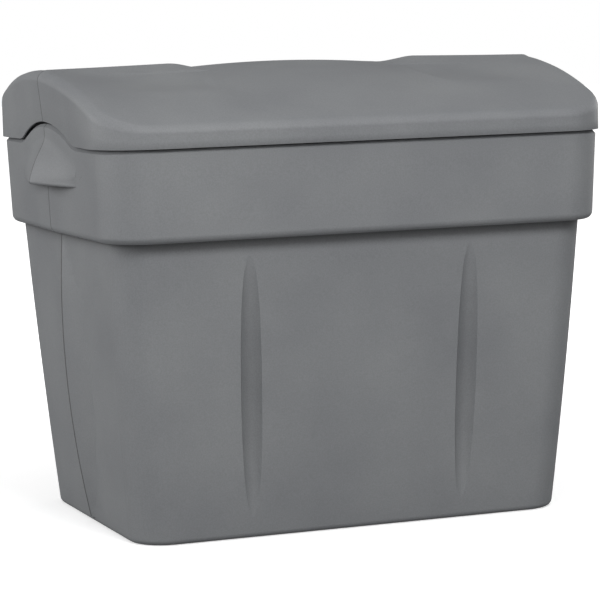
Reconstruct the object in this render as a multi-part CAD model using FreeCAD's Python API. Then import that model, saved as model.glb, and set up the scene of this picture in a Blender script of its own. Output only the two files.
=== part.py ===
"""Grit bin of rotationally moulded polyethylene: a tapered tub with a wide collar, and a vaulted lid.

Millimetres. +X is to the right, +Y to the back and +Z up. The origin is on the ground, under the
middle of the tub's floor. The mould parts in the plane Y = 0, and the ends of the collar and of the
lid draft away from it.
"""

import FreeCAD, Part
import math
import os

from FreeCAD import Vector

# Shell
wall = 5.0
lid_wall = 5.0

# Collar, the wide band around the tub's mouth
collar_width = 1000.0
collar_depth = 746.0
shoulder_height = 726.0
collar_height = 167.0
collar_draft = 6.3
end_draft = 1.2
collar_corner = 85.0
collar_edge = 14.0
shoulder_edge = 6.0

# Tub below the collar
foot_width = 856.0
foot_depth = 572.0
neck_step_side = 24.5
neck_step_front = 32.0
tub_corner = 72.0
foot_edge = 12.0

# Keel, the raised line down each side where the mould parts
keel_foot = 5.0
keel_middle = 22.0
keel_neck = 4.0
keel_flank = 85.0
keel_edge = 3.0
keel_sweep = 1.2

# Flutes, the grooves that stiffen the front and back walls
flute_spacing_low = 418.0
flute_spacing_high = 437.0
flute_low = 38.0
flute_below_collar = 27.0
flute_width = 41.0
flute_depth = 12.0
flute_inner_land = 14.0

# Hump in the rim at each side
hump_height = 37.5
hump_half = 190.0
hump_crown_radius = 400.0

# Hand grip on each side of the collar
grip_below_shoulder = 74.0
grip_rise = 85.0
grip_half = 178.0
grip_reach = 37.0
grip_lip = 12.0
grip_recess = 22.0
grip_edge = 5.0
grip_root = 20.0

# Rain upstand, the inner rim that the lid rests on
shoulder_width = 18.0
seat_clearance = 0.3

# Lid
lid_overhang_side = 11.0
lid_overhang_front = 6.0
lid_end_draft = 1.8
lid_gap = 4.5
skirt_height = 36.0
vault_rise = 97.0
vault_crest_back = 64.0
back_crease_rise = 14.0
lid_edge = 18.0
crown_rise = 8.0
crown_half = 190.0
crown_margin = 40.0
ridge_half = 60.0

# Dished panels in the lid's ends, either side of a ridge over the parting plane
panel_inner = 192.0
panel_inner_splay = 0.23
panel_outer = 430.0
panel_outer_splay = -0.39
panel_back_limit = 300.0
panel_inner_slope = 42.0
panel_outer_slope = 8.0
ridge_rise = 8.4
ridge_fall = 0.0224
ridge_end_slope = 16.0
dish_radius = 690.0
dish_start_slope = 20.0
dish_end_slope = -7.0

# Hinges
hinge_spacing = 600.0
hinge_set_back = 30.0
hinge_drop = 21.0
eye_radius = 18.0
ear_width = 20.0
lug_width = 50.0
lug_play = 1.0
ear_depth = 74.0
open_angle = 105.0
stop_gap = 0.5

# Clevis pins, washers and split pins
pin_radius = 6.0
pin_clearance = 0.3
head_radius = 10.0
head_thickness = 4.0
end_play = 0.3
washer_radius = 12.0
washer_thickness = 2.5
split_wire = 1.6
split_hole_clearance = 0.3
split_eye = 4.0
split_leg = 9.0
split_leg_radius = 1.3
split_leg_drop = 0.6
split_eye_gap = 0.5
split_bend_gap = 2.0
pin_tip = 6.0

# Overshoot of cutting blocks, and how near an edge must be to count as on a plane
reach_over = 60.0
block_margin = 12.0
overcut = 1.0
near = 0.1

# Sizes that follow from the ones above
collar_bottom = shoulder_height - collar_height
flute_high = collar_bottom - flute_below_collar
grip_ledge = shoulder_height - grip_below_shoulder
lid_bottom = shoulder_height + lid_gap
crease_height = lid_bottom + skirt_height
vault_top = crease_height + vault_rise
lid_half_x = collar_width / 2 + lid_overhang_side
lid_half_y = collar_depth / 2 + lid_overhang_front
lid_corner = collar_corner + lid_overhang_front
front_span = lid_half_y + vault_crest_back
back_span = lid_half_y - vault_crest_back
back_drop = vault_rise - back_crease_rise
front_radius = (front_span ** 2 + vault_rise ** 2) / (2 * vault_rise)
back_radius = (back_span ** 2 + back_drop ** 2) / (2 * back_drop)
upstand_half_y = collar_depth / 2 - shoulder_width
hinge_y = collar_depth / 2 + hinge_set_back
hinge_z = shoulder_height - hinge_drop


def solid_of(shape):
    """The one solid inside a boolean's result, with the seams between its split faces removed."""
    tidy = shape.removeSplitter()
    return tidy.Solids[0]


def rounded_box_outline(half_x, half_y, radius, height):
    """A closed wire at one height: a rounded rectangle, centred on the Z axis."""
    edges = []
    for quarter in range(4):
        side = -1 if quarter in (1, 2) else 1
        face = -1 if quarter in (2, 3) else 1
        centre = Vector(side * (half_x - radius), face * (half_y - radius), height)
        edges.append(Part.makeCircle(radius, centre, Vector(0, 0, 1), 90 * quarter, 90 * quarter + 90))
    corners = [(edge.firstVertex().Point, edge.lastVertex().Point) for edge in edges]
    wire = []
    for quarter in range(4):
        wire.append(edges[quarter])
        wire.append(Part.LineSegment(corners[quarter][1], corners[(quarter + 1) % 4][0]).toShape())
    return Part.Wire(wire)


def half_space(point, normal):
    """A block so large that it holds all that is near and behind a plane."""
    span = 4 * collar_width
    block = Part.makeBox(span, span, span, Vector(-span / 2, -span / 2, -span))
    block.Placement = FreeCAD.Placement(point, FreeCAD.Rotation(Vector(0, 0, 1), normal))
    return block


def end_trims(foot_x, top_x, low, high, draft):
    """What lies beyond both ends, whose faces fall back from the parting plane by a draft angle."""
    back = math.tan(math.radians(draft))
    lean = (top_x - foot_x) / (high - low)
    trims = []
    for face in (-1, 1):
        beyond = half_space(Vector(foot_x, 0, low), Vector(-1, -face * back, lean))
        trims += [beyond, mirrored(beyond)]
    return trims


def drafted_form(foot_half, top_half, low, high, corner, edge, draft):
    """A tapered block, widest in the parting plane, with rounded upright edges and foot edges."""
    foot_x, foot_y = foot_half
    top_x, top_y = top_half
    spare = corner / 2
    block = Part.makeWedge(
        -foot_x - spare, low, -foot_y, -top_y, -top_x - spare,
        foot_x + spare, high, foot_y, top_y, top_x + spare,
    )
    block.rotate(Vector(0, 0, 0), Vector(1, 0, 0), 90)
    block = solid_of(block.cut(end_trims(foot_x, top_x, low, high, draft)))
    tall = (high - low) / 2
    corners = [e for e in block.Edges if e.BoundBox.ZLength > tall and abs(e.CenterOfMass.y) > foot_y / 2]
    block = block.makeFillet(corner, corners)
    if edge <= 0:
        return block
    lower = [e for e in block.Edges if e.BoundBox.ZMax < low + near]
    return block.makeFillet(edge, lower)


def tub_half_sizes(height):
    """Half width and half depth of the tub's outside at one height."""
    share = height / collar_bottom
    neck_half_x = collar_width / 2 - collar_draft - neck_step_side
    neck_half_y = collar_depth / 2 - collar_draft - neck_step_front
    half_x = foot_width / 2 * (1 - share) + neck_half_x * share
    half_y = foot_depth / 2 * (1 - share) + neck_half_y * share
    return half_x, half_y


def tub_form(inset):
    """The tub's tapered body from its foot to just inside the collar, with a keel down each side."""
    low = inset
    high = collar_bottom + wall
    foot_half = [half - inset for half in tub_half_sizes(low)]
    top_half = [half - inset for half in tub_half_sizes(high)]
    foot_round = foot_edge if inset == 0 else 0
    body = drafted_form(foot_half, top_half, low, high, tub_corner - inset, foot_round, 0)
    keel = keel_form(inset)
    return body.fuse([keel, mirrored(keel)])


def keel_form(inset):
    """The left keel: a bowed crest line swept back along both of its sloping flanks."""
    low = foot_edge
    high = collar_bottom + wall
    middle = (low + high) / 2
    crest = [
        Vector(inset - tub_half_sizes(low)[0] - keel_foot, 0, low),
        Vector(inset - tub_half_sizes(middle)[0] - keel_middle, 0, middle),
        Vector(inset - tub_half_sizes(high)[0] - keel_neck, 0, high),
    ]
    within = inset - foot_width / 2 + keel_flank
    edges = [
        Part.Arc(crest[0], crest[1], crest[2]).toShape(),
        Part.LineSegment(crest[2], Vector(within, 0, high)).toShape(),
        Part.LineSegment(Vector(within, 0, high), Vector(within, 0, low)).toShape(),
        Part.LineSegment(Vector(within, 0, low), crest[0]).toShape(),
    ]
    section = Part.Face(Part.Wire(edges))
    sweep_x = keel_sweep * keel_middle
    sweep_y = keel_sweep * keel_flank
    back = section.extrude(Vector(sweep_x, sweep_y, 0))
    front = section.extrude(Vector(sweep_x, -sweep_y, 0))
    keel = solid_of(back.fuse(front))
    if inset > 0:
        return keel
    ridge = []
    for edge in keel.Edges:
        box = edge.BoundBox
        if box.ZLength > (high - low) / 2 and box.YLength < near and box.XMin < -foot_width / 2:
            ridge.append(edge)
    return keel.makeFillet(keel_edge, ridge)


def rim_tool(raised, above):
    """What lies above, or below, the rim's line with its hump, across the whole width."""
    turn = 2 * math.atan2(hump_height, hump_half)
    foot_radius = hump_half / math.sin(turn) - hump_crown_radius
    base = shoulder_height + raised
    crown_centre = base + hump_height - hump_crown_radius

    def on_crown(angle):
        y = hump_crown_radius * math.sin(angle)
        return Vector(0, y, crown_centre + hump_crown_radius * math.cos(angle))

    def on_foot(angle, side):
        y = side * (hump_half - foot_radius * math.sin(angle))
        return Vector(0, y, base + foot_radius * (1 - math.cos(angle)))

    far_y = collar_depth
    far_z = base + far_y if above else base - far_y
    left = Vector(0, -far_y, base)
    right = Vector(0, far_y, base)
    foot_left = on_foot(0, -1)
    foot_right = on_foot(0, 1)
    edges = [
        Part.LineSegment(left, foot_left).toShape(),
        Part.Arc(foot_left, on_foot(turn / 2, -1), on_foot(turn, -1)).toShape(),
        Part.Arc(on_crown(-turn), on_crown(0), on_crown(turn)).toShape(),
        Part.Arc(on_foot(turn, 1), on_foot(turn / 2, 1), foot_right).toShape(),
        Part.LineSegment(foot_right, right).toShape(),
        Part.LineSegment(right, Vector(0, far_y, far_z)).toShape(),
        Part.LineSegment(Vector(0, far_y, far_z), Vector(0, -far_y, far_z)).toShape(),
        Part.LineSegment(Vector(0, -far_y, far_z), left).toShape(),
    ]
    face = Part.Face(Part.Wire(edges))
    face.translate(Vector(-collar_width, 0, 0))
    return face.extrude(Vector(2 * collar_width, 0, 0))


def collar_half_sizes(height):
    """Half width and half depth of the collar's outside at one height."""
    drawn_in = collar_draft * (shoulder_height - height) / (shoulder_height - collar_bottom)
    return collar_width / 2 - drawn_in, collar_depth / 2 - drawn_in


def collar_form(inset):
    """The collar, with its lower edge rounded and its rim cut to the humped line."""
    low = collar_bottom + inset
    high = shoulder_height + hump_height + reach_over
    foot_half = [half - inset for half in collar_half_sizes(low)]
    top_half = [half - inset for half in collar_half_sizes(high)]
    block = drafted_form(
        foot_half, top_half, low, high, collar_corner - inset, collar_edge - inset, end_draft
    )
    block = solid_of(block.cut(rim_tool(-inset, True)))
    if inset > 0:
        return block
    rim = []
    for edge in block.Edges:
        box = edge.BoundBox
        middle = max(abs(box.YMin), abs(box.YMax)) < collar_depth / 4
        runs_across = box.XLength > collar_width / 2 and middle
        if box.ZMin > shoulder_height - near and not runs_across:
            rim.append(edge)
    return block.makeChamfer(shoulder_edge, rim)


def upstand_form(inset, top):
    """The inner rim, from inside the collar up to the lid's seat."""
    low = collar_bottom + collar_edge + wall
    half_x = collar_width / 2 - shoulder_width - inset
    half_y = upstand_half_y - inset
    outline = rounded_box_outline(half_x, half_y, collar_corner - shoulder_width - inset, low)
    return Part.Face(outline).extrude(Vector(0, 0, top - low))


def grip_form():
    """The hood of the left hand grip: two flanks that meet in a ridge, over a flat ledge."""
    outlines = []
    for degrees in (0, 30, 55, 75, 85):
        angle = math.radians(degrees)
        height = grip_ledge + grip_rise * math.sin(angle)
        half_y = grip_half * math.cos(angle)
        reach = grip_reach * math.sqrt(1 - math.sin(angle))
        face_x = -collar_half_sizes(height)[0]
        end_x = face_x + half_y * math.tan(math.radians(end_draft))
        points = [
            Vector(face_x + grip_root, -half_y, height),
            Vector(end_x, -half_y, height),
            Vector(face_x - reach, 0, height),
            Vector(end_x, half_y, height),
            Vector(face_x + grip_root, half_y, height),
        ]
        outlines.append(Part.makePolygon(points + [points[0]]))
    return Part.makeLoft(outlines, True, False)


def grip_hood():
    """The hood with its ridge and its ledge's edge rounded."""
    form = grip_form()
    rounded = []
    for edge in form.Edges:
        middle = edge.valueAt((edge.FirstParameter + edge.LastParameter) / 2)
        outside = middle.x < -collar_half_sizes(middle.z)[0] - overcut
        if outside and middle.z < grip_ledge + grip_rise - overcut:
            rounded.append(edge)
    return form.makeFillet(grip_edge, rounded)


def slab(low, high):
    """Everything between two heights."""
    span = 4 * collar_width
    return Part.makeBox(span, span, high - low, Vector(-span / 2, -span / 2, low))


def mirrored(shape):
    """The same shape on the right-hand side."""
    return shape.mirror(Vector(0, 0, 0), Vector(1, 0, 0))


def flute_tool(side, face, grown):
    """A stretch of a wheel's rim that cuts one flute: side is left or right, face is front or back."""
    length = flute_high - flute_low
    rim_radius = ((flute_width / 2) ** 2 + flute_depth ** 2) / (2 * flute_depth)
    wheel_radius = ((length / 2) ** 2 + flute_depth ** 2) / (2 * flute_depth)
    turn = math.degrees(2 * math.asin((length / 2 + 4 * grown + flute_depth) / wheel_radius))
    land = flute_inner_land / 2
    if grown > 0:
        half = flute_width / 2 + grown
        deep = flute_depth + grown
        corners = [(-half, 0), (-land, deep), (land, deep), (half, 0), (half, -half), (-half, -half)]
        points = [Vector(x, y, 0) for x, y in corners]
        section = Part.Face(Part.makePolygon(points + [points[0]]))
    else:
        section = Part.Face(Part.Wire(Part.makeCircle(rim_radius)))
        section.translate(Vector(0, flute_depth - rim_radius, 0))
    hub = Vector(0, flute_depth - wheel_radius, 0)
    section.rotate(hub, Vector(1, 0, 0), -turn / 2)
    cutter = section.revolve(hub, Vector(1, 0, 0), turn)
    if face > 0:
        cutter.rotate(Vector(0, 0, 0), Vector(0, 0, 1), 180)
    low_y = tub_half_sizes(flute_low)[1]
    high_y = tub_half_sizes(flute_high)[1]
    middle = (flute_high + flute_low) / 2
    lean_out = math.degrees(math.atan2(high_y - low_y, length))
    spread = math.degrees(math.atan2((flute_spacing_high - flute_spacing_low) / 2, length))
    cutter.rotate(Vector(0, 0, 0), Vector(0, 1, 0), side * spread)
    cutter.rotate(Vector(0, 0, 0), Vector(1, 0, 0), -face * lean_out)
    x = side * (flute_spacing_high + flute_spacing_low) / 4
    cutter.translate(Vector(x, face * tub_half_sizes(middle)[1], middle))
    return cutter


def flute_tools(grown):
    """The four cutters, two in the front wall and two in the back."""
    tools = []
    for face in (-1, 1):
        for side in (-1, 1):
            tools.append(flute_tool(side, face, grown))
    return tools


def tangent_point(start, radius, side):
    """Where a line from start touches a circle about the hinge axis, in the Y and Z plane."""
    away = Vector(0, start[0] - hinge_y, start[1] - hinge_z)
    angle = math.atan2(away.z, away.y) + side * math.acos(radius / away.Length)
    return Vector(0, hinge_y + radius * math.cos(angle), hinge_z + radius * math.sin(angle))


def eyed_plate(low, high, radius, from_x, to_x):
    """A plate across the hinge axis: it runs from two points on a wall to a round eye."""
    low_point = Vector(0, low[0], low[1])
    high_point = Vector(0, high[0], high[1])
    low_touch = tangent_point(low, radius, 1)
    high_touch = tangent_point(high, radius, -1)
    outline = [low_point, low_touch, Vector(0, hinge_y, hinge_z), high_touch, high_point, low_point]
    web = Part.Face(Part.makePolygon(outline))
    web.translate(Vector(from_x, 0, 0))
    web = web.extrude(Vector(to_x - from_x, 0, 0))
    eye = Part.makeCylinder(radius, to_x - from_x, Vector(from_x, hinge_y, hinge_z), Vector(1, 0, 0))
    return web.fuse(eye)


def pin_bore(from_x, to_x):
    """The hole that a clevis pin runs in."""
    start = Vector(from_x, hinge_y, hinge_z)
    return Part.makeCylinder(pin_radius + pin_clearance, to_x - from_x, start, Vector(1, 0, 0))


def hinge_ears(side):
    """The two ears that stand out of the collar's back, either side of one lid lug."""
    centre = side * hinge_spacing / 2
    inner = lug_width / 2 + lug_play
    ears = []
    for hand in (-1, 1):
        from_x = centre + (inner if hand > 0 else -inner - ear_width)
        top = shoulder_height - shoulder_edge
        low_y = collar_half_sizes(top - ear_depth)[1] - wall / 2
        high_y = collar_half_sizes(top)[1] - wall / 2
        plate = eyed_plate((low_y, top - ear_depth), (high_y, top), eye_radius, from_x, from_x + ear_width)
        ears.append(plate.cut(pin_bore(from_x - overcut, from_x + ear_width + overcut)))
    return ears


def make_tub():
    """The tub's outside, less the space within it."""
    slope = math.asin((upstand_half_y + vault_crest_back) / front_radius)
    seat = vault_height(-upstand_half_y) - lid_wall / math.cos(slope) - seat_clearance
    hood = grip_hood()
    collar = collar_form(0)
    finger_room = grip_form()
    finger_room.translate(Vector(grip_lip, 0, 0))
    finger_room = finger_room.common(slab(grip_ledge - overcut, grip_ledge + grip_recess))
    finger_room = finger_room.cut(collar)
    hood = hood.cut(finger_room)
    pieces = [upstand_form(0, seat), tub_form(0), hood, mirrored(hood)]
    pieces += hinge_ears(-1) + hinge_ears(1)
    outside = collar.fuse(pieces).cut(flute_tools(0))

    hood_room = grip_form()
    hood_room.translate(Vector(wall, 0, 0))
    hood_room = hood_room.common(slab(grip_ledge + grip_recess + wall, shoulder_height + hump_height))
    room = collar_form(wall).fuse([upstand_form(wall, seat + reach_over), tub_form(wall)])
    room = room.fuse([hood_room, mirrored(hood_room)]).cut(flute_tools(wall))
    return solid_of(outside.cut(room))


def vault_height(y):
    """Height of the vault's outside, which is steeper behind its crest than before it."""
    radius = front_radius if y < vault_crest_back else back_radius
    return vault_top - radius + math.sqrt(radius ** 2 - (y - vault_crest_back) ** 2)


def vault_arc(radius, centre_z, angles):
    """An arc of the vault's profile, in the Y and Z plane."""
    points = []
    for angle in (angles[0], (angles[0] + angles[1]) / 2, angles[1]):
        y = vault_crest_back + radius * math.sin(angle)
        points.append(Vector(0, y, centre_z + radius * math.cos(angle)))
    return Part.Arc(points[0], points[1], points[2]).toShape()


def vault_block(inset):
    """The space under the vault, right across, between two planes beyond the lid's ends."""
    front = front_radius - inset
    back = back_radius - inset
    front_angle = -math.asin((front_span + block_margin) / front)
    back_angle = math.asin((back_span + block_margin) / back)
    edges = [
        vault_arc(front, vault_top - front_radius, (front_angle, 0)),
        vault_arc(back, vault_top - back_radius, (0, back_angle)),
    ]
    start = edges[0].Vertexes[0].Point
    end = edges[1].Vertexes[1].Point
    floor = lid_bottom - block_margin
    edges.append(Part.LineSegment(end, Vector(0, end.y, floor)).toShape())
    edges.append(Part.LineSegment(Vector(0, end.y, floor), Vector(0, start.y, floor)).toShape())
    edges.append(Part.LineSegment(Vector(0, start.y, floor), start).toShape())
    face = Part.Face(Part.Wire(edges))
    face.translate(Vector(-lid_half_x - block_margin, 0, 0))
    return face.extrude(Vector(2 * (lid_half_x + block_margin), 0, 0))


def lid_prism(inset):
    """The lid's outline in plan, made tall."""
    half = (lid_half_x - inset, lid_half_y - inset)
    top = vault_top + reach_over
    return drafted_form(half, half, lid_bottom, top, lid_corner - inset, 0, lid_end_draft)


def crown(inset):
    """The raised band across the lid's middle: it bows from side to side and dies out near the creases."""
    halves = []
    for span, vault_radius, turn in ((front_span, front_radius, 1), (back_span, back_radius, -1)):
        reach = span - crown_margin
        fall = vault_radius - math.sqrt(vault_radius ** 2 - reach ** 2) + crown_rise
        radius = (reach ** 2 + fall ** 2) / (2 * fall)
        axis_z = vault_top + crown_rise - radius
        high = vault_top - inset
        foot = high - 3 * crown_rise
        left = Vector(-crown_half, vault_crest_back, high)
        right = Vector(crown_half, vault_crest_back, high)
        left_foot = Vector(-crown_half, vault_crest_back, foot)
        right_foot = Vector(crown_half, vault_crest_back, foot)
        bow = Part.Arc(left, Vector(0, vault_crest_back, high + crown_rise), right)
        edges = [
            bow.toShape(),
            Part.LineSegment(right, right_foot).toShape(),
            Part.LineSegment(right_foot, left_foot).toShape(),
            Part.LineSegment(left_foot, left).toShape(),
        ]
        face = Part.Face(Part.Wire(edges))
        angle = math.degrees(math.asin((reach + crown_margin / 4) / radius))
        halves.append(face.revolve(Vector(0, vault_crest_back, axis_z), Vector(1, 0, 0), turn * angle))
    return halves[0].fuse(halves[1])


def dish_block(inset):
    """What lies under the right end's dishes: two hollow slopes that fall from a ridge over Y = 0."""
    radius = dish_radius + inset
    start = math.radians(dish_start_slope)
    top = vault_height(0) + ridge_rise

    def place(degrees, side):
        slope = math.radians(degrees)
        y = dish_radius * math.sin(start) - radius * math.sin(slope)
        z = top - radius * math.cos(slope) + dish_radius * math.cos(start)
        return Vector(panel_inner, side * y, z)

    first = math.degrees(math.asin(dish_radius * math.sin(start) / radius))
    half = (first + dish_end_slope) / 2
    front = [place(dish_end_slope, -1), place(half, -1), place(first, -1)]
    back = [place(first, 1), place(half, 1), place(dish_end_slope, 1)]
    back_foot = Vector(panel_inner, back[2].y, crease_height)
    front_foot = Vector(panel_inner, front[0].y, crease_height)
    edges = [
        Part.Arc(front[0], front[1], front[2]).toShape(),
        Part.Arc(back[0], back[1], back[2]).toShape(),
        Part.LineSegment(back[2], back_foot).toShape(),
        Part.LineSegment(back_foot, front_foot).toShape(),
        Part.LineSegment(front_foot, front[0]).toShape(),
    ]
    face = Part.Face(Part.Wire(edges))
    length = lid_half_x - panel_inner + reach_over
    face.translate(Vector(-reach_over, 0, ridge_fall * reach_over))
    return face.extrude(Vector(length + reach_over, 0, -ridge_fall * (length + reach_over)))


def wall_above(edge_x, splay, side, rise, inset):
    """All that lies above one sloping wall of a dish, whose upper edge is in the vault."""
    start = Vector(edge_x, 0, vault_height(0))
    far_y = side * panel_back_limit
    far = Vector(edge_x + splay * panel_back_limit, far_y, vault_height(far_y))
    along = far - start
    climb = math.radians(abs(rise))
    up = Vector(math.copysign(math.cos(climb), rise), 0, math.sin(climb))
    normal = along.cross(up)
    if normal.z > 0:
        normal = normal * -1
    normal.normalize()
    return half_space(start + normal * inset, normal)


def dish_cuts(inset):
    """The two hollows, front and back, in the right end of the lid."""
    cuts = []
    for side in (-1, 1):
        low = crease_height + reach_over / 2
        box = Part.makeBox(lid_half_x, panel_back_limit, 2 * reach_over, Vector(panel_inner / 2, 0, low))
        if side < 0:
            box = box.mirror(Vector(0, 0, 0), Vector(0, 1, 0))
        room = box.common(wall_above(panel_inner, panel_inner_splay, side, -panel_inner_slope, inset))
        room = room.common(wall_above(panel_outer, panel_outer_splay, side, panel_outer_slope, inset))
        cuts.append(room.cut(dish_block(inset)))
    return cuts


def ridge(inset):
    """The ridge between the right end's dishes, with its sloping inner end."""
    climb = math.radians(ridge_end_slope)
    start = Vector(panel_inner, 0, vault_height(0) - inset)
    below = half_space(start, Vector(-math.sin(climb), 0, math.cos(climb)))
    corner = Vector(panel_inner / 2, -ridge_half, crease_height + reach_over / 2)
    middle = Part.makeBox(lid_half_x, 2 * ridge_half, 2 * reach_over, corner)
    return dish_block(inset).common(below).common(middle).common(lid_prism(inset))


def lid_form(inset):
    """The lid's outside, or the same form drawn in by the wall."""
    block = solid_of(vault_block(inset).fuse(crown(inset)).common(lid_prism(inset)))
    if inset == 0:
        top_edges = []
        for edge in block.Edges:
            middle = edge.CenterOfMass
            outer = abs(middle.y) > lid_half_y - overcut or abs(middle.x) > lid_half_x - lid_corner
            if outer and edge.BoundBox.ZMin > crease_height - overcut:
                top_edges.append(edge)
        block = block.makeFillet(lid_edge, top_edges)
    cuts = dish_cuts(inset)
    block = block.cut(cuts + [mirrored(cut) for cut in cuts])
    back = ridge(inset)
    return solid_of(block.fuse([back, mirrored(back)]))


def lid_lug(side):
    """The lug that reaches from the lid's back skirt down to the pin, with its stop heel."""
    from_x = side * hinge_spacing / 2 - lug_width / 2
    back = lid_half_y - lid_wall / 2
    low = (back, lid_bottom + lid_wall)
    high = (back, crease_height - lid_edge)
    lug = eyed_plate(low, high, eye_radius, from_x, from_x + lug_width)
    reach = hinge_y - collar_half_sizes(hinge_z)[1] - stop_gap
    heel_corner = Vector(from_x, hinge_y - reach, hinge_z - eye_radius)
    heel = Part.makeBox(lug_width, reach, eye_radius, heel_corner)
    heel.rotate(Vector(0, hinge_y, hinge_z), Vector(1, 0, 0), open_angle)
    return lug.fuse(heel).cut(pin_bore(from_x - overcut, from_x + lug_width + overcut))


def make_lid():
    """The lid's shell, open below, with the humps cut out of its end skirts."""
    shell = lid_form(0).cut(lid_form(lid_wall)).cut(rim_tool(lid_gap, False))
    return solid_of(shell.fuse([lid_lug(-1), lid_lug(1)]))


def clevis_stations(side):
    """Places along a pin, from the middle of its lug: outer ear face, washer's far face, split pin."""
    ear_face = lug_width / 2 + lug_play + ear_width
    washer_far = ear_face + end_play + washer_thickness
    split = washer_far + end_play + split_wire
    return ear_face, washer_far, split


def along_pin(shape, side):
    """Puts a shape that was made about the X axis, head to the right, onto its hinge."""
    placed = shape if side > 0 else mirrored(shape)
    placed.translate(Vector(side * hinge_spacing / 2, hinge_y, hinge_z))
    return placed


def hinge_pin(side):
    """A headed clevis pin with a cross hole near its tip."""
    ear_face, washer_far, split = clevis_stations(side)
    start = -(split + pin_tip)
    along = Vector(1, 0, 0)
    seat = ear_face + end_play
    shank = Part.makeCylinder(pin_radius, seat - start, Vector(start, 0, 0), along)
    head = Part.makeCylinder(head_radius, head_thickness, Vector(seat, 0, 0), along)
    hole_radius = split_wire + split_hole_clearance
    hole = Part.makeCylinder(hole_radius, 4 * pin_radius, Vector(-split, 0, -2 * pin_radius))
    return along_pin(solid_of(shank.fuse(head).cut(hole)), side)


def pin_washer(side):
    """A plain washer between the inner ear and the split pin."""
    ear_face, washer_far, split = clevis_stations(side)
    along = Vector(1, 0, 0)
    disc = Part.makeCylinder(washer_radius, washer_thickness, Vector(-washer_far, 0, 0), along)
    start = Vector(-washer_far - overcut, 0, 0)
    hole = Part.makeCylinder(pin_radius + pin_clearance, 2 * washer_thickness, start, along)
    return along_pin(disc.cut(hole), side)


def split_pin(side):
    """A split pin: its eye above the clevis pin, its two legs bent apart below."""
    ear_face, washer_far, split = clevis_stations(side)
    eye_low = pin_radius + split_eye_gap
    low_end = Vector(-split, 0, -pin_radius - split_bend_gap)
    shank = Part.makeCylinder(split_wire, eye_low - low_end.z + overcut, low_end)
    middle = Vector(-split - split_wire / 2, 0, eye_low + split_eye)
    along = Vector(1, 0, 0)
    ring = Part.makeCylinder(split_eye + split_wire / 2, split_wire, middle, along)
    ring = ring.cut(Part.makeCylinder(split_eye - split_wire / 2, split_wire, middle, along))
    legs = []
    for hand in (-1, 1):
        lean = Vector(0, hand, -split_leg_drop)
        legs.append(Part.makeCylinder(split_leg_radius, split_leg, low_end, lean))
    return along_pin(solid_of(shank.fuse([ring] + legs)), side)


def write(name, shape):
    """Writes one piece and prints what it is."""
    shape.exportStep(os.path.join("parts", name + ".step"))
    box = shape.BoundBox
    print(
        name, "solids", len(shape.Solids), "valid", shape.isValid(),
        "litres %.3f" % (shape.Volume / 1e6),
        "box %.1f %.1f %.1f" % (box.XLength, box.YLength, box.ZLength),
    )


def main():
    os.makedirs("parts", exist_ok=True)
    write("tub", make_tub())
    write("lid", make_lid())
    for name, side in (("left", -1), ("right", 1)):
        write("hinge_pin_" + name, hinge_pin(side))
        write("pin_washer_" + name, pin_washer(side))
        write("split_pin_" + name, split_pin(side))


main()
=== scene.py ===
# %% [markdown]
# # A grit bin in moulded grey polyethylene
#
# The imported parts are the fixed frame. The tub is shown by a welded copy of its mesh whose hoods
# are rolled softer, and the lid by a shell made from a height formula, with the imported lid's own
# lugs. A moulded surface runs on over its rounded corners without a break, so each is one skin. The
# pins, washers and split pins keep their meshes and get a zinc finish.

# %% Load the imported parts
import bmesh
import bpy
import math
from mathutils import Matrix, Vector


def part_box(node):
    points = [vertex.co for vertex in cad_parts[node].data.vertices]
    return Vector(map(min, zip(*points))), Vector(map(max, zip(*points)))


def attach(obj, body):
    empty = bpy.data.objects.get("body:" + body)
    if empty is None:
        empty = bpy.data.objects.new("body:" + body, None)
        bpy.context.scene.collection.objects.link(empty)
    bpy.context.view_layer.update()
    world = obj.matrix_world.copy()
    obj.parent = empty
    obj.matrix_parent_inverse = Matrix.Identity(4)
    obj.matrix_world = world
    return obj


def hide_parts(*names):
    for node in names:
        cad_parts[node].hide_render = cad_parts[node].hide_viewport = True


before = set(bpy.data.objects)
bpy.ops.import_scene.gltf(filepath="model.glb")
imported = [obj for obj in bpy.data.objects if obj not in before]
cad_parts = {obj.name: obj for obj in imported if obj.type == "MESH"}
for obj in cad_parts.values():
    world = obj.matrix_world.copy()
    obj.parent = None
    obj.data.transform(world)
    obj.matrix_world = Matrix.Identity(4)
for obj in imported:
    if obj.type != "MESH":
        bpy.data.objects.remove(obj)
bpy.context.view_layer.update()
MM = 0.001
print("parts:", ", ".join(sorted(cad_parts)))

# %% [markdown]
# ## Small helpers
#
# One function turns a hex colour into what a shader socket takes, and one adds a node with its
# settings and inputs. A number sets a socket, and an output of another node is linked to it. A
# function for each kind of node would hide what a material is made of, so there is only this one.


# %% Helpers
def linear(hex_colour):
    """The linear red, green, blue and alpha of an sRGB hex colour, by the sRGB standard's curve."""
    channels = []
    for start in (0, 2, 4):
        value = int(hex_colour[start:start + 2], 16) / 255
        channels.append(value / 12.92 if value <= 0.04045 else ((value + 0.055) / 1.055) ** 2.4)
    return (*channels, 1.0)


def add(tree, kind, settings=None, **inputs):
    """Adds a node. Settings are its own properties, or a ramp's two stops as (place, hex colour)
    pairs. Inputs go to its sockets by name."""
    node = tree.nodes.new(kind)
    for name, value in (settings or {}).items():
        if name != "stops":
            setattr(node, name, value)
            continue
        for element, (place, colour) in zip(node.color_ramp.elements, value):
            element.position = place
            element.color = linear(colour)
    for name, value in inputs.items():
        socket = node.inputs[name.replace("_", " ")]
        if isinstance(value, bpy.types.NodeSocket):
            tree.links.new(value, socket)
        else:
            socket.default_value = value
    return node


def new_material(name):
    """An empty material: the material, its node tree, and its output node."""
    material = bpy.data.materials.new(name)
    material.use_nodes = True
    material.node_tree.nodes.clear()
    output = add(material.node_tree, "ShaderNodeOutputMaterial")
    return material, material.node_tree, output


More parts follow.
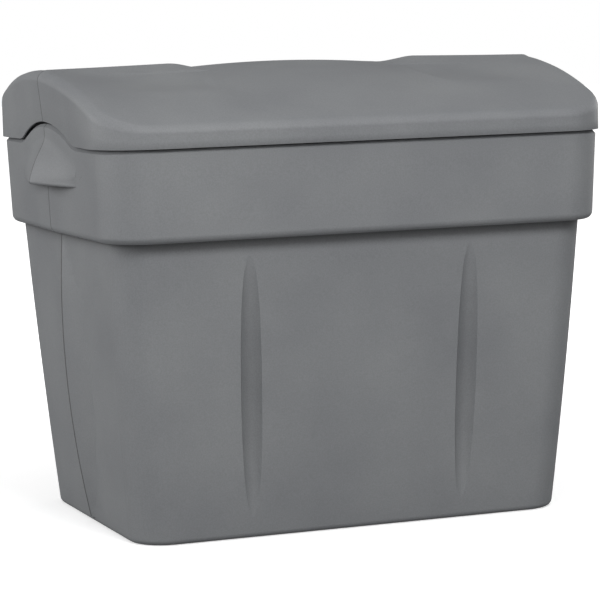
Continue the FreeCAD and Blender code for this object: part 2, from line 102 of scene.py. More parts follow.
print("middle grey 808080 is linear", round(linear("808080")[0], 3))

# %% [markdown]
# ## Camera
#
# The photograph was taken from low on the left with a long lens, and its frame is square. A camera
# can be aimed at a target by eye. Here its place and three angles come from the bin's own level and
# upright edges, so they are written as such, and the lens comes from a focal length in pixels.

# %% Camera
camera_place = Vector((-1.887, -4.916, 0.994))
camera_yaw = math.radians(21.04)
camera_pitch = math.radians(6.43)
camera_roll = math.radians(-1.35)
image_side = 600
focal_pixels = 2716
sensor_side = 36
sight_end = 60

forward = Vector((
    math.sin(camera_yaw) * math.cos(camera_pitch),
    math.cos(camera_yaw) * math.cos(camera_pitch),
    -math.sin(camera_pitch),
))
level = Vector((math.cos(camera_yaw), -math.sin(camera_yaw), 0))
upright = level.cross(forward)
right = math.cos(camera_roll) * level + math.sin(camera_roll) * upright
up = math.cos(camera_roll) * upright - math.sin(camera_roll) * level

camera = bpy.data.objects.new("camera", bpy.data.cameras.new("camera"))
camera.data.sensor_width = sensor_side
camera.data.lens = focal_pixels / image_side * camera.data.sensor_width
camera.data.clip_end = sight_end
turn = Matrix((right, up, -forward)).transposed()
camera.matrix_world = Matrix.Translation(camera_place) @ turn.to_4x4()
bpy.context.scene.collection.objects.link(camera)
bpy.context.scene.camera = camera
print("lens", round(camera.data.lens, 2), "mm")

# %% [markdown]
# ## Moulded polyethylene
#
# The tub and the lid are rotationally moulded polyethylene: powder melts onto the wall of a hot
# turning mould. That gives the eye an even, slightly clouded grey with a fine grain, soft broad
# waves where the wall cooled unevenly, and hardly any gloss. An image would need unwrapping, so
# noise in the object's own coordinates is used. Two marks go on top. One is the thin dark line where
# the mould's halves met, in the middle of both ends. The other is painted shade in narrow hollows,
# such as the flutes and under the collar. An ambient occlusion node finds those by feeling for the
# piece's own walls close by, and darkens the colour there.

# %% Sizes and tones of the finish
cloud_size = 200 * MM
cloud_tones = [(0.3, "7b7d80"), (0.7, "858789")]
wave_size = 110 * MM
wave_height = 1.2 * MM
# The real grain is about 0.5 mm, too fine for the render, so it is drawn at 2.5 mm
grain_size = 2.5 * MM
grain_height = 0.05 * MM
grain_tones = [(0.35, "f2f2f2"), (0.65, "ffffff")]
# Painted shade in narrow hollows: how far the occlusion feels for walls, and how dark it paints
painted_shade_reach = 30 * MM
painted_shade_tones = [(0.62, "949494"), (0.96, "ffffff")]
# Half the width of the parting line, on the collar and lid, and then below the collar
seam_half = 2.6 * MM
low_seam_half = 5.0 * MM
collar_low = 559 * MM
seam_height = 0.5 * MM
seam_tones = [(0.2, "ffffff"), (0.8, "7a7a7a")]
# The line is drawn only further out than this, which is the two ends
ends_from = 425 * MM
print("grain noise scale", round(1 / grain_size), "per metre")


# %% The mould's parting line
def parting_line(tree, place):
    """How strongly a place lies on the parting line: 1 in its middle, falling to 0 at its sides."""
    along = add(tree, "ShaderNodeSeparateXYZ", Vector=place)
    end_distance = add(tree, "ShaderNodeMath", {"operation": "ABSOLUTE"}, Value=along.outputs["X"])
    seam_distance = add(tree, "ShaderNodeMath", {"operation": "ABSOLUTE"}, Value=along.outputs["Y"])
    at_ends = add(
        tree, "ShaderNodeMapRange", Value=end_distance.outputs["Value"],
        From_Min=ends_from, From_Max=ends_from + seam_half,
    )
    seam_width = add(
        tree, "ShaderNodeMapRange", Value=along.outputs["Z"],
        From_Min=collar_low - low_seam_half, From_Max=collar_low,
        To_Min=low_seam_half, To_Max=seam_half,
    )
    seam = add(
        tree, "ShaderNodeMapRange", Value=seam_distance.outputs["Value"],
        From_Max=seam_width.outputs["Result"], To_Min=at_ends.outputs["Result"], To_Max=0.0,
    )
    return seam.outputs["Result"]


print("parting line", round(2 * seam_half / MM, 1), "mm wide on the collar")


# %% Moulded polyethylene
def moulded_polyethylene():
    """Grey polyethylene. Typical values: IOR 1.5, and roughness 0.5 to 0.6 off a cast mould."""
    material, tree, output = new_material("moulded_polyethylene_grey")
    place = add(tree, "ShaderNodeTexCoord").outputs["Object"]
    cloud = add(tree, "ShaderNodeTexNoise", Vector=place, Scale=1 / cloud_size, Detail=3.0)
    wave = add(tree, "ShaderNodeTexNoise", Vector=place, Scale=1 / wave_size, Detail=1.0)
    grain = add(tree, "ShaderNodeTexNoise", Vector=place, Scale=1 / grain_size, Detail=2.0)
    seam = parting_line(tree, place)
    # Painted shade: ambient occlusion darkens the colour where the piece's own walls are close by
    feel_own_walls = {"samples": 16, "only_local": True}
    painted_shade = add(tree, "ShaderNodeAmbientOcclusion", feel_own_walls, Distance=painted_shade_reach)

    tone = add(tree, "ShaderNodeValToRGB", {"stops": cloud_tones}, Fac=cloud.outputs["Fac"])
    tone = tone.outputs["Color"]
    layers = [
        add(tree, "ShaderNodeValToRGB", {"stops": grain_tones}, Fac=grain.outputs["Fac"]),
        add(tree, "ShaderNodeValToRGB", {"stops": seam_tones}, Fac=seam),
        # painted shade in the narrow hollows
        add(tree, "ShaderNodeValToRGB", {"stops": painted_shade_tones}, Fac=painted_shade.outputs["AO"]),
    ]
    multiply = {"data_type": "RGBA", "blend_type": "MULTIPLY"}
    for layer in layers:
        darker = add(tree, "ShaderNodeMix", multiply, Factor=1.0, A=tone, B=layer.outputs["Color"])
        tone = darker.outputs["Result"]

    gloss = add(tree, "ShaderNodeMapRange", Value=cloud.outputs["Fac"], To_Min=0.5, To_Max=0.62)
    broad = add(tree, "ShaderNodeBump", Height=wave.outputs["Fac"], Distance=wave_height)
    fine = add(
        tree, "ShaderNodeBump", Height=grain.outputs["Fac"], Distance=grain_height,
        Normal=broad.outputs["Normal"],
    )
    proud = add(
        tree, "ShaderNodeBump", Height=seam, Distance=seam_height, Normal=fine.outputs["Normal"],
    )
    shader = add(
        tree, "ShaderNodeBsdfPrincipled", Base_Color=tone, IOR=1.5,
        Roughness=gloss.outputs["Result"], Normal=proud.outputs["Normal"],
    )
    tree.links.new(shader.outputs["BSDF"], output.inputs["Surface"])
    return material


grey_plastic = moulded_polyethylene()
print("made", grey_plastic.name)

# %% [markdown]
# ## Zinc-plated steel
#
# The hinge pins, washers and split pins are plated steel, dulled by the weather, which gives the
# eye a soft grey shine with faint specks. One grey and one roughness would look like paint or like
# chrome, so a fine noise varies both. Pieces this small need no image and no scratches.

# %% Zinc-plated steel
# The specks of the dull plating are taken as about 1.7 mm across
spangle_size = 1.6667 * MM
zinc_tones = [(0.35, "9fa3a6"), (0.65, "c3c6c8")]


def zinc_plated_steel():
    """Dull zinc. Typical values: full metal, a light neutral grey, and roughness 0.3 to 0.5."""
    material, tree, output = new_material("zinc_plated_steel")
    place = add(tree, "ShaderNodeTexCoord").outputs["Object"]
    spangle = add(
        tree, "ShaderNodeTexNoise", Vector=place, Scale=1 / spangle_size, Detail=3.0, Roughness=0.6,
    )
    tone = add(tree, "ShaderNodeValToRGB", {"stops": zinc_tones}, Fac=spangle.outputs["Fac"])
    gloss = add(tree, "ShaderNodeMapRange", Value=spangle.outputs["Fac"], To_Min=0.32, To_Max=0.5)
    shader = add(
        tree, "ShaderNodeBsdfPrincipled", Base_Color=tone.outputs["Color"], Metallic=1.0,
        Roughness=gloss.outputs["Result"],
    )
    tree.links.new(shader.outputs["BSDF"], output.inputs["Surface"])
    return material


zinc = zinc_plated_steel()
print("made", zinc.name)

# %% [markdown]
# ## The tub
#
# The tub is one tall, tapered moulding. Its own mesh has the right shape, but its flat walls are a
# few long triangles. It could be lofted anew from sections, yet a welded copy starts out with every
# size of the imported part, so that copy is sliced into short levels. Each level is swelled a little,
# because the wall of a tall moulding bows out as it cools. Edges sharper than the crease angle stay
# crisp, and every other edge is shaded smooth.

# %% Smoothing and skin
crease = math.radians(24)
weld_distance = 0.02 * MM


def smooth_but_creases(mesh_form):
    """Marks every face smooth, and every edge sharper than the crease angle sharp."""
    for face in mesh_form.faces:
        face.smooth = True
    for edge in mesh_form.edges:
        edge.smooth = edge.calc_face_angle(0.0) < crease


def skin(mesh_form, name, node, body):
    """Makes a moulding's piece of a mesh in metres: it stands for its node and rides on its body."""
    smooth_but_creases(mesh_form)
    mesh = bpy.data.meshes.new(name)
    mesh_form.to_mesh(mesh)
    mesh_form.free()
    mesh.materials.append(grey_plastic)
    piece = bpy.data.objects.new(name, mesh)
    bpy.context.scene.collection.objects.link(piece)
    balance = piece.modifiers.new("balance", "WEIGHTED_NORMAL")
    balance.keep_sharp = True
    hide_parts(node)
    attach(piece, body)
    print(name, len(mesh.polygons), "faces")


# %% The tub
wall_top = 540.0
wall_bow = 2.6
level_step = 20.0

tub_form = bmesh.new()
tub_form.from_mesh(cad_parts["tub"].data)
bmesh.ops.remove_doubles(tub_form, verts=tub_form.verts, dist=weld_distance)
level = level_step
while level < wall_top:
    everything = tub_form.verts[:] + tub_form.edges[:] + tub_form.faces[:]
    bmesh.ops.bisect_plane(tub_form, geom=everything, plane_co=(0, 0, level * MM), plane_no=(0, 0, 1))
    level += level_step
tub_half_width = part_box("tub")[1][0]
tub_half_depth = -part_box("tub")[0][1]
for vertex in tub_form.verts:
    share = 2 * vertex.co.z / (wall_top * MM) - 1
    if abs(share) < 1:
        swell = wall_bow * MM * (1 - share ** 2)
        vertex.co.x += swell * vertex.co.x / tub_half_width
        vertex.co.y += swell * vertex.co.y / tub_half_depth
print("tub sliced into", len(tub_form.faces), "faces")

# %% [markdown]
# ## The tub's rim
#
# The rim is level but for a hump in the middle of each end, which leaves room for the hand grip
# under it. A spline could pass through the same places, but a mould is drawn in arcs. The hood
# below and the lid above both follow the rim, so its height is one function.

# %% The rim
rim_height = 726.0
hump_height = 37.5
hump_half = 190.0
hump_crown_radius = 400.0


def rim_line(y):
    """Height of the tub's rim, with its hump: a crown arc between two hollow feet."""
    turn = 2 * math.atan2(hump_height, hump_half)
    foot_radius = hump_half / math.sin(turn) - hump_crown_radius
    off = abs(y)
    if off >= hump_half:
        return rim_height
    if off >= hump_crown_radius * math.sin(turn):
        return rim_height + foot_radius - math.sqrt(foot_radius ** 2 - (hump_half - off) ** 2)
    crown_height = math.sqrt(hump_crown_radius ** 2 - off ** 2) - hump_crown_radius
    return rim_height + hump_height + crown_height


print("rim from", rim_line(hump_half), "to", rim_line(0), "mm")

# %% [markdown]
# ## The hoods of the hand grips
#
# Each hand grip is a shallow hood that swells out of the collar under the hump, over a ledge for
# the fingers. On a moulding it has no outline of its own: its two flanks meet in a soft ridge and
# roll into the wall. A bevel would only round its edges, and a subdivision surface would soften
# the ledge too. So the wall round the hood is sliced into small squares, and each of their corners
# moves to a depth that one formula gives. The move fades out near the ledge, the rim and the sides.
# The inside of the hood is drawn in with it, so the wall stays about as thick as the moulding's.

# %% Sizes of the hoods
ledge_height = 652.0
hood_rise = 80.0
cad_hood_rise = 85.0
moulding_wall = 5.0
hood_half = 178.0
hood_out = 37.0
hood_low = ledge_height + 3.0
hood_high = 766.0
hood_reach = 216.0
hood_step = 5.0
# How far the ridge's line bulges over a straight one, and the height of the two rolls
ridge_bulge = 0.5
ridge_roll = 7.0
foot_roll = 9.0
# The collar leans out by 6.3 mm over its height of 167 mm, and its ends are drafted by 1.2 degrees
collar_half_width = 500.0
collar_lean = 6.3 / 167.0
collar_draft = math.tan(math.radians(1.2))
collar_inner = 488.0
# Bands in which the formula's depth fades out, as distances from the ledge, the sides and the rim
fade_near = 6.0
fade_far = 24.0
rim_fade_near = 10.0
print("hood", hood_out, "mm out, over", 2 * hood_half, "mm of the end")


# %% Depth of the wall round a hood
def soft_max(a, b, roll):
    """The larger of two heights, with the corner between them rounded over a height of roll."""
    near = max(roll - abs(a - b), 0.0) / roll
    return max(a, b) + near * near * roll / 4


def ease(low, high, value):
    """Goes from 0 to 1 with level ends as a value goes from low to high."""
    share = min(max((value - low) / (high - low), 0.0), 1.0)
    return share * share * (3 - 2 * share)


def plain_wall(y, z):
    """How far the collar's end stands out at a place, without its hood."""
    return collar_half_width - collar_lean * (rim_height - z) - collar_draft * abs(y)


def grip_wall(y, z):
    """How far the collar's end stands out at a place: the plain wall, and the hood on it."""
    off = math.hypot(y, ridge_roll) - ridge_roll
    rise = (z - ledge_height) / hood_rise
    ridge = hood_out * (1 - rise) * (1 + ridge_bulge * rise)
    flank = ridge - hood_out / hood_half * off / math.sqrt(1 + max(rise, 0.0))
    return plain_wall(y, z) + soft_max(flank, 0.0, foot_roll)


def packed_hood(y, z):
    """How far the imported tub's own hood stands out of the wall, between its ledge and its top."""
    rise = min(max((z - ledge_height) / cad_hood_rise, 0.0), 1.0)
    out = hood_out * math.sqrt(1 - rise)
    return max(out - hood_out / hood_half * abs(y) / math.sqrt(1 + rise), 0.0)


def hood_freedom(y, z):
    """How much of the formula's depth a point takes: none at the ledge, the sides and the rim."""
    above = ease(ledge_height + fade_near, ledge_height + fade_far, z)
    below = 1 - ease(rim_line(y) - fade_far, rim_line(y) - rim_fade_near, z)
    beside = 1 - ease(hood_reach - fade_far, hood_reach - fade_near, abs(y))
    return above * below * beside


print("wall at the ledge", round(grip_wall(0, ledge_height), 1), "mm from the middle")


# %% Slicing the wall round a hood
# Only faces that look outward by this share are sliced, and edges shorter than a sliver are welded
outward_least = 0.3
sliver = 1.2 * MM


def slice_hood_wall(mesh_form, side):
    """Cuts the wall round a hood into squares, at the left end, side -1, or the right one, side 1.
    Returns the points that are free to move."""
    region = set()
    for face in mesh_form.faces:
        middle = face.calc_center_median() / MM
        outer = side * middle.x > collar_inner and side * face.normal.x > outward_least
        if outer and hood_low < middle.z < hood_high and abs(middle.y) < hood_reach:
            region.update([face, *face.edges, *face.verts])
    planes = []
    for i in range(int(2 * hood_reach / hood_step) + 1):
        planes.append(((0, (i * hood_step - hood_reach) * MM, 0), (0, 1, 0)))
    for i in range(int((hood_high - hood_low) / hood_step) + 1):
        planes.append(((0, 0, (hood_low + i * hood_step) * MM), (0, 0, 1)))
    geometry = list(region)
    for place, normal in planes:
        cut = bmesh.ops.bisect_plane(mesh_form, geom=geometry, plane_co=place, plane_no=normal)
        geometry = cut["geom"]
    points = [part for part in geometry if isinstance(part, bmesh.types.BMVert)]
    free = [point for point in points if hood_freedom(point.co.y / MM, point.co.z / MM) > 0]
    bmesh.ops.remove_doubles(mesh_form, verts=free, dist=sliver)
    return [point for point in free if point.is_valid]


print("squares of", hood_step, "mm, from", hood_low, "to", hood_high, "mm up")


# %% Rolling the wall into the hoods
# A point that would move out this far or more lies in the finger pocket, and stays where it is
pocket_least = 9.0
# The inside of a hood is looked for from this far over the ledge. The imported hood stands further
# out than the formula's, so its inside may lie up to this far past the formula's wall. Points this
# close to the plain wall's inside stay where they are.
inner_from = 25.0
behind_reach = 9.0
wall_slack = 0.2


def roll_outside(free, side):
    """Moves the free points of a hood's outside to the depth of the formula."""
    for point in free:
        y, z = point.co.y / MM, point.co.z / MM
        change = grip_wall(y, z) - side * point.co.x / MM
        if change < pocket_least:
            point.co.x += side * hood_freedom(y, z) * change * MM


def draw_inside_in(mesh_form, free, side):
    """Draws a hood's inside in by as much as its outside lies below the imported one."""
    rolled = set(free)
    for point in mesh_form.verts:
        y, z = point.co.y / MM, point.co.z / MM
        depth = side * point.co.x / MM
        behind = collar_inner < depth < grip_wall(y, z) + behind_reach and point not in rolled
        within = ledge_height + inner_from < z < ledge_height + cad_hood_rise
        if behind and within and abs(y) < hood_half:
            thinner = packed_hood(y, z) - (grip_wall(y, z) - plain_wall(y, z))
            if thinner > 0 and depth > plain_wall(y, z) - moulding_wall + wall_slack:
                point.co.x -= side * thinner * MM


for side in (-1, 1):
    free = slice_hood_wall(tub_form, side)
    roll_outside(free, side)
    draw_inside_in(tub_form, free, side)
    print("rolled", len(free), "points at side", side)
skin(tub_form, "tub_skin", "tub", "bin")

# %% [markdown]
# ## The lid's top
#
# The lid is a vault that is steeper behind its crest. Its middle sinks a little and carries a
# raised crown, and each end has two dishes, before and behind a ridge. They could be cut out and
# bevelled one by one, but on a rotational moulding every one of these meets the next in a soft
# roll, so the top is one height formula. Two forms are joined by a maximum or a minimum whose
# corner is rounded over a given height.

# %% Sizes of the lid
lid_low, lid_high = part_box("lid")
half_width = lid_high[0] / MM
half_depth = -lid_low[1] / MM
vault_top = 863.5
crest_back = 64.0
front_drop = 97.0
back_drop = 83.0
middle_sag = 5.5
sag_fade = 60.0
crown_rise = 8.0
crown_half = 190.0
crown_margin = 40.0
crown_roll = 0.25
print("lid", round(2 * half_width, 1), "by", round(2 * half_depth, 1), "mm in front of the lugs")

# %% Sizes of the dishes and the ridge
ridge_rise = 8.4
ridge_fall = 0.0224
ridge_end_slope = 16.0
ridge_half = 45.0
# Beyond the ridge its own height drops by this much, so that only the dishes count there
ridge_sink = 200.0
dish_radius = 690.0
dish_start_slope = 20.0
dish_in = 192.0
dish_in_splay = 0.23
dish_in_slope = 42.0
dish_out = 430.0
dish_out_splay = -0.39
dish_out_slope = 8.0
dish_far = 300.0
# Heights over which the dishes' walls, their upper edges and the ridge are rounded
inner_wall_roll = 8.0
outer_wall_roll = 10.0
dish_edge_roll = 7.0
ridge_top_roll = 6.0
print("dishes from", dish_in, "to", dish_out, "mm off the middle")


# %% Height of the lid's top
def soft_min(a, b, roll):
    """The smaller of two heights, with the corner between them rounded."""
    return -soft_max(-a, -b, roll)


def span_at(y):
    """The vault's reach and drop, before its crest or behind it."""
    if y < crest_back:
        return half_depth + crest_back, front_drop
    return half_depth - crest_back, back_drop


def vault(y):
    """The plain vault: an arc before the crest, and a tighter one behind it."""
    span, drop = span_at(y)
    radius = (span ** 2 + drop ** 2) / (2 * drop)
    return vault_top - radius + math.sqrt(radius ** 2 - (y - crest_back) ** 2)


def dish_floor(x, y):
    """Two hollow slopes that fall from the ridge over the middle of the lid's end."""
    start = math.radians(dish_start_slope)
    top = vault(0) + ridge_rise - ridge_fall * (abs(x) - dish_in)
    from_axis = abs(y) - dish_radius * math.sin(start)
    return top + dish_radius * math.cos(start) - math.sqrt(dish_radius ** 2 - from_axis ** 2)


def dish_wall(x, y, edge, splay, slope):
    """A sloping wall of a dish: its upper edge splays away from the ridge."""
    along = abs(y) / dish_far
    edge_height = vault(0) * (1 - along) + vault(math.copysign(dish_far, y)) * along
    beyond = abs(x) - (edge + splay * abs(y))
    return edge_height + beyond * math.tan(math.radians(slope))


def lid_top(x, y):
    """Height of the lid's top over a place in plan, before its outer edge is rounded."""
    span, drop = span_at(y)
    fade = max(1 - ((y - crest_back) / (span - crown_margin)) ** 2, 0.0)
    bow = soft_max(1 - (x / crown_half) ** 2, 0.0, crown_roll)
    sag = middle_sag * (1 - ease(crown_half, crown_half + sag_fade, abs(x)))
    height = vault(y) + fade * (crown_rise * bow - sag)
    floor = dish_floor(x, y)
    inner = dish_wall(x, y, dish_in, dish_in_splay, -dish_in_slope)
    outer = dish_wall(x, y, dish_out, dish_out_splay, dish_out_slope)
    hollow = soft_max(soft_max(floor, inner, inner_wall_roll), outer, outer_wall_roll)
    height = soft_min(height, hollow, dish_edge_roll)
    ridge_end = vault(0) - middle_sag + (abs(x) - dish_in) * math.tan(math.radians(ridge_end_slope))
    beyond_ridge = ease(ridge_half, 2 * ridge_half, abs(y))
    ridge = soft_min(floor, ridge_end, ridge_top_roll) - ridge_sink * beyond_ridge
    return soft_max(height, ridge, ridge_top_roll)


print("crest", round(lid_top(0, crest_back), 1), "ridge", round(lid_top(dish_far, 0), 1), "mm")

# %% [markdown]
# ## The lid's skin
#
# The lid is a shell of even wall with a skirt that hangs over the tub's rim. A solidify modifier
# would make the wall, but not the level lower edge. So the shell is made of rings. Each ring is the
# lid's outline in plan, drawn in by some distance: a rounded rectangle whose ends fall back a
# little from the plane where the mould parts. Close rings round the outer edge, and the ones within
# them shrink evenly to the middle. The inner side is the same top, one wall lower. The skirt's
# lower edge follows the rim. Over the two humps it leans in and leaves a wider gap, as it does in
# the photograph.

# %% Sizes of the skirt
lid_wall = 5.0
corner_radius = 95.0
corner_least = 1.0
end_draft = math.tan(math.radians(1.8))
edge_radius_end = 20.0
edge_radius_front = 12.0
level_gap = 2.2
hump_gap = 4.5
end_lean = 8.0
lean_near = 170.0
lean_far = 290.0
# How finely the shell is divided: along an end, round a corner and along the front, then up the
# skirt as shares of its height, round the edge in degrees, and in rings over the top
end_steps = 96
corner_steps = 12
front_steps = 94
skirt_levels = (0.0, 0.5)
edge_turn = 15
top_steps = 70
print("gap under the skirt", level_gap, "mm, and over the humps", hump_gap, "mm")


# %% Outline
def outline(inset):
    """The lid's outline in plan, drawn in by a distance, as points and how far each faces an end."""
    half_x = half_width - inset
    half_y = half_depth - inset
    radius = max(corner_radius - inset, corner_least)
    straight_x = half_width - corner_radius
    straight_y = half_depth - corner_radius
    points = []
    for i in range(end_steps):
        points.append((half_x, straight_y * (2 * i / end_steps - 1), 1.0))
    for i in range(corner_steps):
        turn = math.pi / 2 * i / corner_steps
        place = (half_x - radius + radius * math.cos(turn), half_y - radius + radius * math.sin(turn))
        points.append((*place, math.cos(turn) ** 2))
    for i in range(front_steps):
        points.append((straight_x * (1 - 2 * i / front_steps), half_y, 0.0))
    for i in range(corner_steps):
        turn = math.pi / 2 * (1 + i / corner_steps)
        place = (radius - half_x + radius * math.cos(turn), half_y - radius + radius * math.sin(turn))
        points.append((*place, math.cos(turn) ** 2))
    points += [(-x, -y, facing) for x, y, facing in points]
    return [(x * (1 - end_draft * abs(y) / half_width), y, facing) for x, y, facing in points]


print("outline of", len(outline(0.0)), "points")


# %% Rings of the shell
def edge_radius(facing):
    """The radius of the lid's outer edge, which is larger at the ends than in front."""
    return edge_radius_end * facing + edge_radius_front * (1 - facing)


def skirt_rings(edge, lower):
    """Rings of the skirt: its lower edge over the rim, and one halfway up."""
    rings = []
    for share in skirt_levels:
        ring = []
        for x, y, facing in edge:
            on_hump = (rim_line(y) - rim_height) / hump_height
            foot = rim_line(y) + level_gap + (hump_gap - level_gap) * on_hump
            shoulder = lid_top(x, y) - edge_radius(facing) - lower
            lean = end_lean * (1 - share) * facing * (1 - ease(lean_near, lean_far, abs(y)))
            ring.append((x - math.copysign(lean, x), y, foot + (shoulder - foot) * share))
        rings.append(ring)
    return rings


def edge_rings(edge, inner_edge, lower):
    """Rings round the lid's outer edge, from the skirt to the top."""
    rings = []
    for angle in range(0, 90 + edge_turn, edge_turn):
        turn = math.radians(angle)
        ring = []
        for (x, y, facing), (far_x, far_y, _) in zip(edge, inner_edge):
            radius = edge_radius(facing)
            inward = (1 - math.cos(turn)) * radius / edge_radius_end
            place_x = x + (far_x - x) * inward
            place_y = y + (far_y - y) * inward
            height = lid_top(place_x, place_y) - radius * (1 - math.sin(turn)) - lower
            ring.append((place_x, place_y, height))
        rings.append(ring)
    return rings


def shell_rings(inset, lower):
    """Rings of one side of the shell, from the skirt's lower edge to the middle of the top."""
    edge = outline(inset)
    rings = skirt_rings(edge, lower) + edge_rings(edge, outline(inset + edge_radius_end), lower)
    last = [(x, y) for x, y, _ in rings[-1]]
    for i in range(1, top_steps):
        share = 1 - i / top_steps
        rings.append([(x * share, y * share, lid_top(x * share, y * share) - lower) for x, y in last])
    return rings


print("rings over the top", top_steps)


# %% The lid
def add_shell_side(mesh_form, rings, outward):
    """Adds one side's rings to a mesh, with faces that look outward or inward. Returns its foot."""
    rows = [[mesh_form.verts.new([c * MM for c in place]) for place in ring] for ring in rings]
    count = len(rows[0])
    for low, high in zip(rows, rows[1:]):
        for i in range(count):
            j = (i + 1) % count
            corners = (low[i], low[j], high[j], high[i])
            mesh_form.faces.new(corners if outward else corners[::-1])
    centre = mesh_form.verts.new((0, 0, sum(v.co.z for v in rows[-1]) / count))
    for i in range(count):
        corners = (rows[-1][i], rows[-1][(i + 1) % count], centre)
        mesh_form.faces.new(corners if outward else corners[::-1])
    return rows[0]


lid_form = bmesh.new()
outer_foot = add_shell_side(lid_form, shell_rings(0.0, 0.0), True)
inner_foot = add_shell_side(lid_form, shell_rings(lid_wall, lid_wall), False)
for i in range(len(outer_foot)):
    j = (i + 1) % len(outer_foot)
    lid_form.faces.new((outer_foot[j], outer_foot[i], inner_foot[i], inner_foot[j]))
print("shell faces", len(lid_form.faces))

# %% [markdown]
# ## The lid's lugs
#
# Two lugs behind the back skirt carry the lid on the hinge pins. They could be built anew, but they
# have to sit on the pins to a fraction of a millimetre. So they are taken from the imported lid: all
# of its faces that lie behind the back skirt or below the skirt's edge.

# %% The lid's lugs
lug_room = 0.05
skirt_low = 730.5

lugs = bmesh.new()
lugs.from_mesh(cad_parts["lid"].data)
bmesh.ops.remove_doubles(lugs, verts=lugs.verts, dist=weld_distance)
rest = []
for face in lugs.faces:
    middle = face.calc_center_median() / MM
    if middle.y < half_depth + lug_room and middle.z > skirt_low - lug_room:
        rest.append(face)
bmesh.ops.delete(lugs, geom=rest, context="FACES")
print("lug faces", len(lugs.faces))
lug_mesh = bpy.data.meshes.new("lugs")
lugs.to_mesh(lug_mesh)
lugs.free()
lid_form.from_mesh(lug_mesh)
bpy.data.meshes.remove(lug_mesh)
skin(lid_form, "lid_skin", "lid", "lid")

# %% [markdown]
# ## Hinge hardware
#
# Each hinge has a headed pin, a washer and a split pin. They could be remade with finer bevels, but
# they are small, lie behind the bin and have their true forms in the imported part. So they keep
# their own meshes, and only the zinc is put on.

# %% Hinge hardware
mouldings = ("tub", "lid")
hardware = [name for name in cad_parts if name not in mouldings]
for name in hardware:
    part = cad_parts[name]
    part.data.materials.clear()
    part.data.materials.append(zinc)
print("zinc on", len(hardware), "pieces")

# %% [markdown]
# ## The white floor
#
# The photograph shows the bin cut out on white. A floor that is white to all light would throw much
# of it up under the bin, so only the camera sees the white: a pale floor with a glow that grows
# away from the bin, which leaves the bin's shadow on it. All other light meets a mid grey.

# %% The white floor
floor_reach = 20.0
floor_drop = 0.5 * MM
glow_near = 0.8
glow_far = 2.5
glow_least = 0.5


def white_floor():
    """A matt floor that is grey to the light and white to the camera."""
    material, tree, output = new_material("studio_floor")
    path = add(tree, "ShaderNodeLightPath")
    matt = add(tree, "ShaderNodeBsdfDiffuse", Color=linear("9a9a9a"))
    paper = add(tree, "ShaderNodeBsdfDiffuse", Color=linear("f0f0f0"))
    place = add(tree, "ShaderNodeTexCoord").outputs["Object"]
    away = add(tree, "ShaderNodeVectorMath", {"operation": "LENGTH"}, Vector=place)
    glow = add(
        tree, "ShaderNodeMapRange", Value=away.outputs["Value"],
        From_Min=glow_near, From_Max=glow_far, To_Min=glow_least, To_Max=1.0,
    )
    lift = add(tree, "ShaderNodeEmission", Color=(1, 1, 1, 1), Strength=glow.outputs["Result"])
    seen = add(tree, "ShaderNodeAddShader")
    tree.links.new(paper.outputs["BSDF"], seen.inputs[0])
    tree.links.new(lift.outputs["Emission"], seen.inputs[1])
    mix = add(tree, "ShaderNodeMixShader", Fac=path.outputs["Is Camera Ray"])
    tree.links.new(matt.outputs["BSDF"], mix.inputs[1])
    tree.links.new(seen.outputs["Shader"], mix.inputs[2])
    tree.links.new(mix.outputs["Shader"], output.inputs["Surface"])
    return material


floor_corners = [
    (-floor_reach, -floor_reach, 0),
    (floor_reach, -floor_reach, 0),
    (floor_reach, floor_reach, 0),
    (-floor_reach, floor_reach, 0),
]
floor_mesh = bpy.data.meshes.new("floor")
floor_mesh.from_pydata(floor_corners, [], [(0, 1, 2, 3)])
floor_mesh.materials.append(white_floor())
floor = bpy.data.objects.new("floor", floor_mesh)
floor.location.z = -floor_drop
bpy.context.scene.collection.objects.link(floor)
print("floor", 2 * floor_reach, "m across")

# %% [markdown]
# ## The sky
#
# The sky stands for the light that the walls of a studio throw back. A dome or a picture of a
# studio would do it too, but a plain white needs neither. It is full white to the camera and only
# a soft fill to the bin.

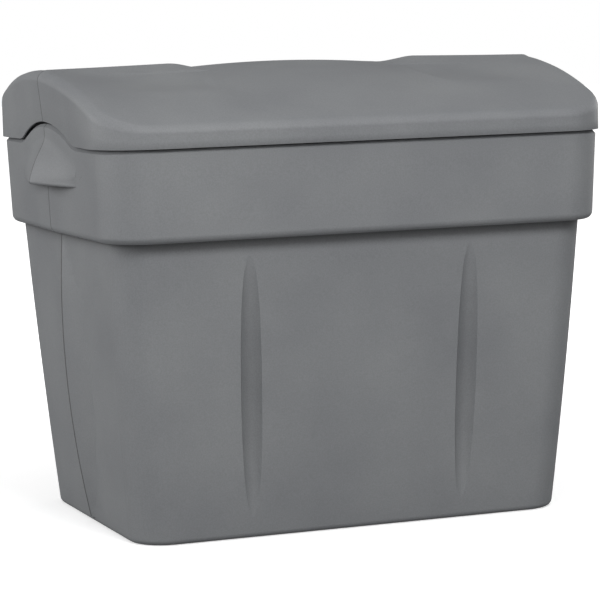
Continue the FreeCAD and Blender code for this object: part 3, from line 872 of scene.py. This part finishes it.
# %% The sky
sky_fill = 0.26
sky_seen = 1.0

world = bpy.data.worlds.new("studio")
world.use_nodes = True
sky = world.node_tree
sky.nodes.clear()
path = add(sky, "ShaderNodeLightPath")
soft = add(sky, "ShaderNodeBackground", Color=(1, 1, 1, 1), Strength=sky_fill)
plain = add(sky, "ShaderNodeBackground", Color=(1, 1, 1, 1), Strength=sky_seen)
mix = add(sky, "ShaderNodeMixShader", Fac=path.outputs["Is Camera Ray"])
sky.links.new(soft.outputs["Background"], mix.inputs[1])
sky.links.new(plain.outputs["Background"], mix.inputs[2])
world_output = add(sky, "ShaderNodeOutputWorld")
sky.links.new(mix.outputs["Shader"], world_output.inputs["Surface"])
bpy.context.scene.world = world
print("sky fills at", sky_fill)

# %% [markdown]
# ## The soft boxes
#
# The photograph's light is soft and comes mostly from high in front. Small lamps would draw hard
# shadows, so each light is a wide square that faces the bin. The strongest hangs high in front.
# Weaker ones stand behind, beside and above it, and a low one in front lightens the shadow under
# the collar. Their powers were fitted to the photograph's grey levels, patch by patch.

# %% The soft boxes
# Each light's place in metres, its side in metres and its power in watts
soft_boxes = {
    "high_front": ((0.2, -4.2, 3.6), 1.6, 120),
    "low_front": ((0.4, -5.0, 0.6), 1.2, 26),
    "back_left": ((-4.5, 2.5, 1.8), 2.5, 88),
    "left": ((-5.5, -0.5, 1.5), 2.5, 46),
    "front_left": ((-3.8, -3.0, 2.2), 1.6, 35),
    "above": ((0.0, -0.5, 4.5), 3.0, 34),
    "back_right": ((5.2, 2.4, 1.6), 2.5, 60),
}
middle_of_bin = Vector((0, 0, 0.45))
for name, (place, side, watts) in soft_boxes.items():
    light = bpy.data.lights.new(name, "AREA")
    light.size = side
    light.energy = watts
    box = bpy.data.objects.new(name, light)
    box.location = place
    box.rotation_euler = (middle_of_bin - Vector(place)).to_track_quat("-Z", "Y").to_euler()
    box.visible_camera = False
    bpy.context.scene.collection.objects.link(box)

bpy.context.scene.view_settings.view_transform = "Standard"
print("lit by", len(soft_boxes), "soft boxes")
